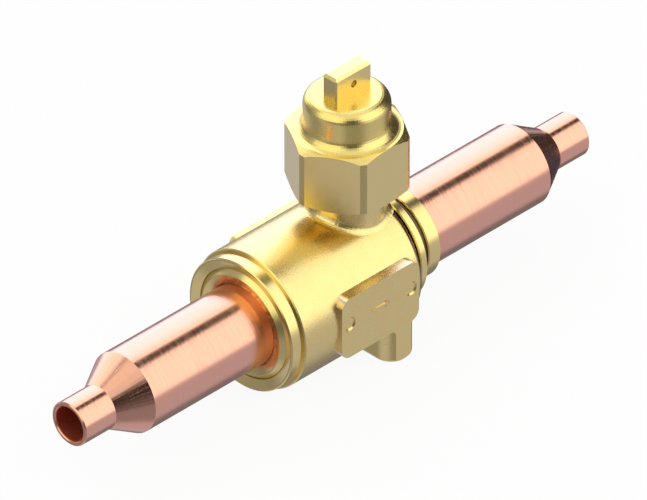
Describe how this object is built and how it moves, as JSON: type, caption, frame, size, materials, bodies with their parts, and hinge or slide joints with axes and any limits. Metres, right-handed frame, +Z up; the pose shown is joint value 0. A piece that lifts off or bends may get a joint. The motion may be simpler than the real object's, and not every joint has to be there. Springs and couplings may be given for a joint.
{
  "type": "shut-off ball valve",
  "caption": "Brass shut-off ball valve with swaged copper solder ends, hexagonal seal cap over the stem, flat name pads and threaded mounting feet; shown open.",
  "frame": {"origin": "on the ground under the middle of the valve's length, below the pipe axis", "axes": "+X along the pipe from the closure's end to the collar's end, +Z up, along the stem; -Y is the side of the front name pad"},
  "size_m": [0.178, 0.0402, 0.079],
  "materials": {
    "brass": "forged and blasted, turned on the ends, nearly matt sheen",
    "copper": "drawn copper, polished round the tube",
    "chromed_ball": "chromed and polished",
    "steel": "turned stainless steel",
    "ptfe": "white fluoropolymer, waxy",
    "rubber": "black rubber",
    "braze": "solidified braze metal"
  },
  "bodies": {
    "base": {"valve_body": "brass", "end_closure": "brass", "closure_ring": "rubber", "seat_left": "ptfe", "seat_right": "ptfe", "seat_ring_left": "rubber", "seat_ring_right": "rubber", "thrust_washer": "ptfe", "tube_left": "copper", "tube_right": "copper", "braze_left": "braze", "braze_right": "braze"},
    "stem_assembly": {"stem": "steel", "stem_ring_lower": "rubber", "stem_ring_upper": "rubber", "stop_pin": "steel"},
    "ball": {"ball": "chromed_ball"},
    "gasket": {"cap_gasket": "ptfe"},
    "cap": {"seal_cap": "brass"}
  },
  "joints": [
    {"name": "stem_turn", "type": "hinge", "parent": "base", "child": "stem_assembly", "pos_m": [0.00835, 0, 0.05], "axis": [0, 0, 1], "range_deg": [-90, 0]},
    {"name": "ball_turn", "type": "hinge", "parent": "base", "child": "ball", "pos_m": [0.00835, 0, 0.01925], "axis": [0, 0, 1], "range_deg": [-90, 0]},
    {"name": "cap_lift", "type": "slide", "parent": "base", "child": "gasket", "axis": [0, 0, 1], "range_m": [0, 0.024]},
    {"name": "cap_spin", "type": "hinge", "parent": "gasket", "child": "cap", "pos_m": [0.00835, 0, 0.05], "axis": [0, 0, 1], "range_deg": [0, 5760.5]}
  ],
  "couplings": [
    {"joint": "ball_turn", "follows": "stem_turn", "ratio": 1},
    {"joint": "cap_spin", "follows": "cap_lift", "rad_per_m": 4188.8}
  ]
}
